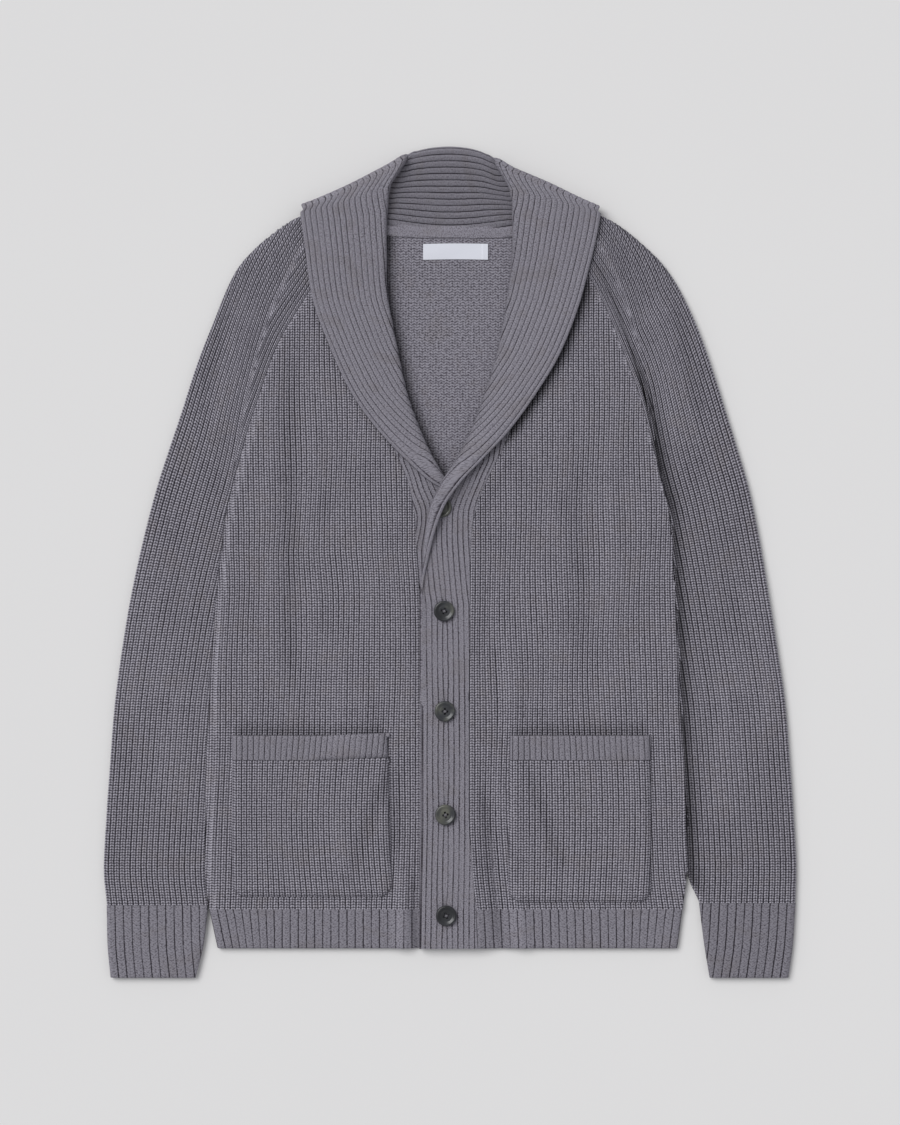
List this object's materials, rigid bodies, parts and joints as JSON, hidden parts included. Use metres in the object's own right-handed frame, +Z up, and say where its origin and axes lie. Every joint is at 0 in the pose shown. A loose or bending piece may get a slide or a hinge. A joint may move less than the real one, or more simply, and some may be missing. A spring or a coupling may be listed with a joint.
{
  "type": "shawl collar cardigan",
  "caption": "Buttoned raglan-sleeve cardigan in chunky ribbed knit, laid flat on its back, with a folded shawl collar, ribbed button band, cuffs and hem, and patch pockets.",
  "frame": {"origin": "on the table, under the middle of the laid garment", "axes": "+X towards the wearer's left side, +Y from the hem to the collar, +Z up from the table through the back and then the fronts"},
  "size_m": [0.6592, 0.7895, 0.0213],
  "materials": {
    "knit": "half-cardigan ribbed knit of grey-violet wool blend yarn",
    "rib": "close ribbed knit of the same yarn",
    "button": "polished marbled dark grey resin, four holes, grey thread",
    "label": "pale woven satin label, blank"
  },
  "bodies": {
    "root": {"back": "knit", "front_right": "knit", "front_left": "knit", "sleeve_right": "knit", "sleeve_left": "knit", "cuff_right": "rib", "cuff_left": "rib", "hem_rib_back": "rib", "hem_rib_right": "rib", "hem_rib_left": "rib", "button_band_right": "rib", "button_band_left": "rib", "shawl_collar": "rib", "pocket_right": "knit", "pocket_left": "knit", "pocket_rib_right": "rib", "pocket_rib_left": "rib", "button_1": "button", "button_2": "button", "button_3": "button", "button_4": "button", "button_5": "button", "neck_label": "label"}
  },
  "joints": []
}
